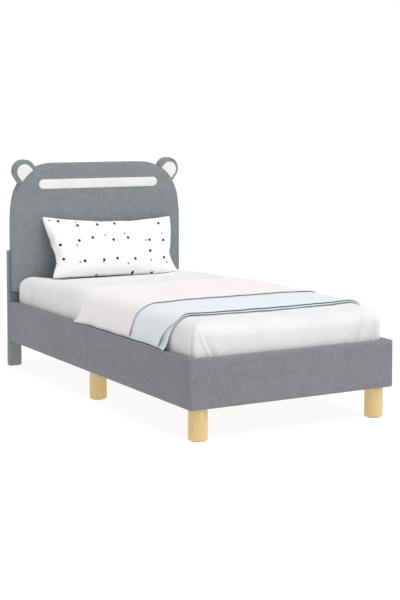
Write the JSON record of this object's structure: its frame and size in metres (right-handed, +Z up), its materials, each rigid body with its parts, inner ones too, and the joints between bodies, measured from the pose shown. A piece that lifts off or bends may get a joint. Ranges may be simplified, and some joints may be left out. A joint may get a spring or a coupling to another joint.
{
  "type": "toddler bed",
  "caption": "Upholstered toddler bed with a bear-head headboard on round wooden legs, with a slatted base, mattress, fitted sheet, two-layer blanket and pillow.",
  "frame": {"origin": "on the floor, at the middle of the bed's footprint", "axes": "+X to the right seen from the foot, +Y from the foot towards the headboard, +Z up"},
  "size_m": [0.76, 1.484, 0.8132],
  "materials": {
    "grey_linen": "woven linen-look upholstery fabric, matt",
    "white_inlay": "smooth white upholstery fabric",
    "fibreboard": "raw fibreboard",
    "beech_wood": "light wood, clear matt lacquer",
    "pine_wood": "sawn and planed pine",
    "black_steel": "black powder-coated steel",
    "zinc_steel": "zinc-plated steel",
    "webbing": "woven polyester webbing",
    "glide_plastic": "moulded grey plastic",
    "mattress_fabric": "knitted mattress cover over foam",
    "white_sheet": "white cotton jersey",
    "blue_cotton": "pale blue brushed cotton",
    "pink_cotton": "pale pink brushed cotton",
    "pillow_cotton": "white cotton with small black dots"
  },
  "bodies": {
    "bed_frame": {"headboard_back_panel": "grey_linen", "headboard_front_board": "fibreboard", "headboard_padding": "grey_linen", "headboard_strip": "white_inlay", "ear_left": "grey_linen", "ear_right": "grey_linen", "ear_inlay_left": "white_inlay", "ear_inlay_right": "white_inlay", "post_left": "grey_linen", "post_right": "grey_linen", "lower_headboard_panel": "grey_linen", "headboard_bolts": "zinc_steel", "panel_dowels": "beech_wood", "foot_rail": "grey_linen", "side_rail_left_foot": "grey_linen", "side_rail_left_head": "grey_linen", "side_rail_right_foot": "grey_linen", "side_rail_right_head": "grey_linen", "corner_bracket_foot_left": "black_steel", "corner_bracket_foot_right": "black_steel", "corner_bracket_head_left": "black_steel", "corner_bracket_head_right": "black_steel", "splice_plate_left": "black_steel", "splice_plate_right": "black_steel", "frame_bolts": "zinc_steel", "slat_ledge_left": "pine_wood", "slat_ledge_right": "pine_wood", "centre_beam": "pine_wood", "beam_hangers": "black_steel", "centre_leg": "pine_wood", "slat_strap_left": "webbing", "slat_strap_right": "webbing", "leg_foot_left": "beech_wood", "leg_foot_right": "beech_wood", "leg_mid_left": "beech_wood", "leg_mid_right": "beech_wood", "leg_block_foot_left": "pine_wood", "leg_block_foot_right": "pine_wood", "leg_block_mid_left": "pine_wood", "leg_block_mid_right": "pine_wood", "leg_studs": "zinc_steel", "floor_glides": "glide_plastic", "slat_1": "pine_wood", "slat_2": "pine_wood", "slat_3": "pine_wood", "slat_4": "pine_wood", "slat_5": "pine_wood", "slat_6": "pine_wood", "slat_7": "pine_wood", "slat_8": "pine_wood", "slat_9": "pine_wood", "slat_10": "pine_wood", "slat_11": "pine_wood"},
    "mattress": {"mattress": "mattress_fabric", "fitted_sheet": "white_sheet"},
    "blanket": {"blanket_lining": "blue_cotton", "blanket_cover": "pink_cotton", "blanket_border": "blue_cotton"},
    "pillow": {"pillow": "pillow_cotton"}
  },
  "joints": [
    {"name": "mattress_lift", "type": "slide", "parent": "bed_frame", "child": "mattress", "axis": [0, 0, 1], "range_m": [0, 0.25]},
    {"name": "blanket_lift", "type": "slide", "parent": "mattress", "child": "blanket", "axis": [0, 0, 1], "range_m": [0, 0.3]},
    {"name": "pillow_lift", "type": "slide", "parent": "mattress", "child": "pillow", "axis": [0, 0, 1], "range_m": [0, 0.3]}
  ]
}
